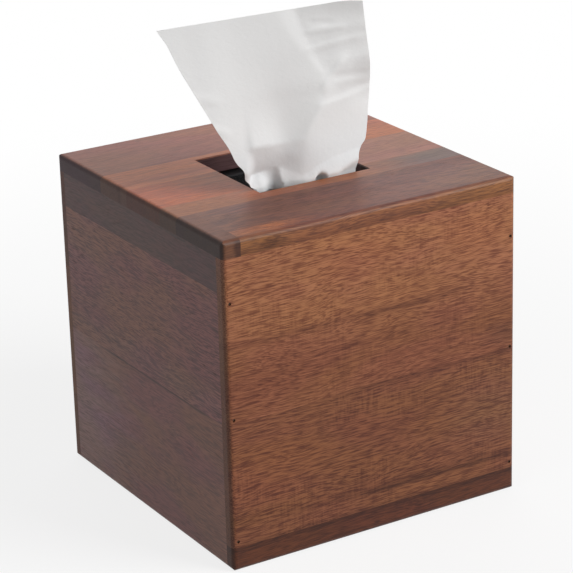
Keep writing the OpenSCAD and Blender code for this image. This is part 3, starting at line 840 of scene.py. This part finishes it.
tissue = grid_piece("drawn_tissue", *sheet_points())
thick = tissue.modifiers.new("paper_thickness", "SOLIDIFY")
thick.thickness = THICKNESS * MM
thick.offset = 0
tissue.data.materials.append(paper_material("tissue_paper", 1.0))
apply_modifiers(tissue)
tissue.data.set_sharp_from_angle(angle=math.radians(60))
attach(tissue, "refill")
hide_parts("tissue_sheet")
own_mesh(tissue)

# The stack: folds on each side, points round it, rings of its base and its top, and the power that rounds corners
STACK_FOLDS, ROUND_STEPS, CAP_RINGS, CORNER_POWER = 42, 160, 18, 0.16


def stack_of_tissues():
    """The pile of folded tissues: rounded-rectangle rings from the middle of the base, up sides whose breadth swells
    and shrinks once for every fold, and over a slightly sunken top back to the middle."""
    low, high = (np.array(corner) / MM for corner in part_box("tissue_stack"))
    half = (high - low)[:2] / 2
    turn = circle(ROUND_STEPS)
    ring = np.stack([np.sign(v) * np.abs(v) ** CORNER_POWER for v in (np.cos(turn), np.sin(turn))], 1)
    up = np.linspace(0, 1, STACK_FOLDS * 5 + 1)
    swell = 0.25 * np.abs(np.sin(math.pi * STACK_FOLDS * up)) + 0.15 * np.sin(23 * up) - 0.45
    swell = swell - 1.2 * np.exp(-up * 60) - 1.2 * np.exp(-(1 - up) * 60)
    inward = np.linspace(0.985, 0.0, CAP_RINGS)
    size = np.array([half * k for k in inward[::-1]] + [half + k for k in swell] + [(half - 1.6) * k for k in inward])
    sunken = high[2] - 0.05 - 1.1 * np.cos(math.pi / 2 * inward) ** 2
    level = np.concatenate([np.full(CAP_RINGS, low[2]), low[2] + (high[2] - low[2]) * up, sunken])
    points = np.stack([*np.moveaxis(size[:, None] * ring, -1, 0), level[:, None] + 0 * turn], -1)
    flat = np.stack([points[..., 0] + 0.3 * points[..., 2], points[..., 1] + points[..., 2]], -1)
    return grid_piece("tissue_stack_pile", points, flat, closed_across=True)


def close_caps(piece):
    """Merges the points that meet in the middle of the base and of the top, and turns all faces outwards."""
    loose = bmesh.new()
    loose.from_mesh(piece.data)
    bmesh.ops.remove_doubles(loose, verts=loose.verts, dist=1e-6)
    bmesh.ops.recalc_face_normals(loose, faces=loose.faces)
    loose.to_mesh(piece.data)
    loose.free()


pile = stack_of_tissues()
close_caps(pile)
pile.data.materials.append(paper_material("stack_paper", 0.5))
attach(pile, "refill")
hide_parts("tissue_stack")

# The world's light on the object, and how much of its white a gloss mirrors
WORLD_LIGHT, MIRRORED_WHITE = 0.20, 0.62
# The round floor: radii of its rings in metres, points round it, and its level in millimetres
FLOOR_RADII = np.array([0.001, 0.3, 0.8, 2.0, 6.0, 20.0])
FLOOR_STEPS, FLOOR_LEVEL = 96, -0.05
# The floor as the object's light sees it and as the camera does, and the share of its own white near and far
BOUNCE_GREY, SHADOW_WHITE = (0.42, 0.42, 0.42, 1), (0.98, 0.98, 0.98, 1)
WHITE_NEAR, WHITE_FAR = 0.80, 1.0
# The point that the lamps look at, in metres
AIM = np.array([0, 0, 0.08])


def seen_directly(tree, mirrored=1.0):
    """1 for camera and transmission rays, the given share for glossy rays, and 0 for the light on the object."""
    path = lay(tree, "LightPath").outputs
    glossy = times(tree, path["Is Glossy Ray"], mirrored)
    return calc(tree, "MAXIMUM", calc(tree, "MAXIMUM", path["Is Camera Ray"], glossy), path["Is Transmission Ray"])


def make_floor():
    """A round white floor: seen directly it is mostly its own white, with a share of lit paint near the object that
    keeps the shadow and dies out further off."""
    turn = circle(FLOOR_STEPS)
    x, y = (FLOOR_RADII[:, None] * way / MM for way in (np.cos(turn), np.sin(turn)))
    points = np.stack([x, y, np.full_like(x, FLOOR_LEVEL)], -1)
    floor = grid_piece("white_floor", points, points[..., :2], closed_across=True)
    made, tree = new_material("white_floor")
    bounce = lay(tree, "BsdfDiffuse", {"Color": BOUNCE_GREY}).outputs[0]
    lit = lay(tree, "BsdfDiffuse", {"Color": SHADOW_WHITE}).outputs[0]
    white = lay(tree, "Emission", {"Color": (1, 1, 1, 1), "Strength": 1.0}).outputs[0]
    far = lay(tree, "VectorMath", {0: object_point(tree)}, operation="LENGTH").outputs["Value"]
    own_white = ramp(tree, far, 0.12, 0.55, WHITE_NEAR, WHITE_FAR)
    shown = lay(tree, "MixShader", {0: own_white, 1: lit, 2: white}).outputs[0]
    both = lay(tree, "MixShader", {0: seen_directly(tree), 1: bounce, 2: shown}).outputs[0]
    lay(tree, "OutputMaterial", {0: both})
    floor.data.materials.append(made)


def make_world():
    """White where it is seen, and a dim even light where it falls on the object."""
    world = bpy.data.worlds.new("studio")
    world.use_nodes = True
    tree = world.node_tree
    tree.nodes.clear()
    seen = seen_directly(tree, MIRRORED_WHITE)
    strength = calc(tree, "MULTIPLY_ADD", seen, 1.0 - WORLD_LIGHT, WORLD_LIGHT)
    sky = lay(tree, "Background", {"Color": (1, 1, 1, 1), "Strength": strength})
    lay(tree, "OutputWorld", {0: sky.outputs[0]})
    bpy.context.scene.world = world


def make_lamp(name, direction, distance, size, watts):
    """A soft square lamp that stands in a direction from the object and looks at it."""
    data = bpy.data.lights.new(name, "AREA")
    data.shape, data.size, data.energy = "SQUARE", size, watts
    way = np.array(direction, float)
    way /= np.linalg.norm(way)
    side = np.cross([0, 0, 1], way)
    side /= np.linalg.norm(side)
    placed(name, data, [side, np.cross(way, side), way], way * distance + AIM)


make_floor()
make_world()
make_lamp("key_lamp", (0.58, -0.78, 0.54), 1.5, 0.8, 17.5)
make_lamp("back_lamp", (0.35, 0.85, 0.6), 2.3, 2.6, 14)
make_lamp("left_lamp", (-1.0, -0.25, 0.5), 1.8, 1.2, 4.0)

scene = bpy.context.scene
scene.view_settings.view_transform = "Standard"
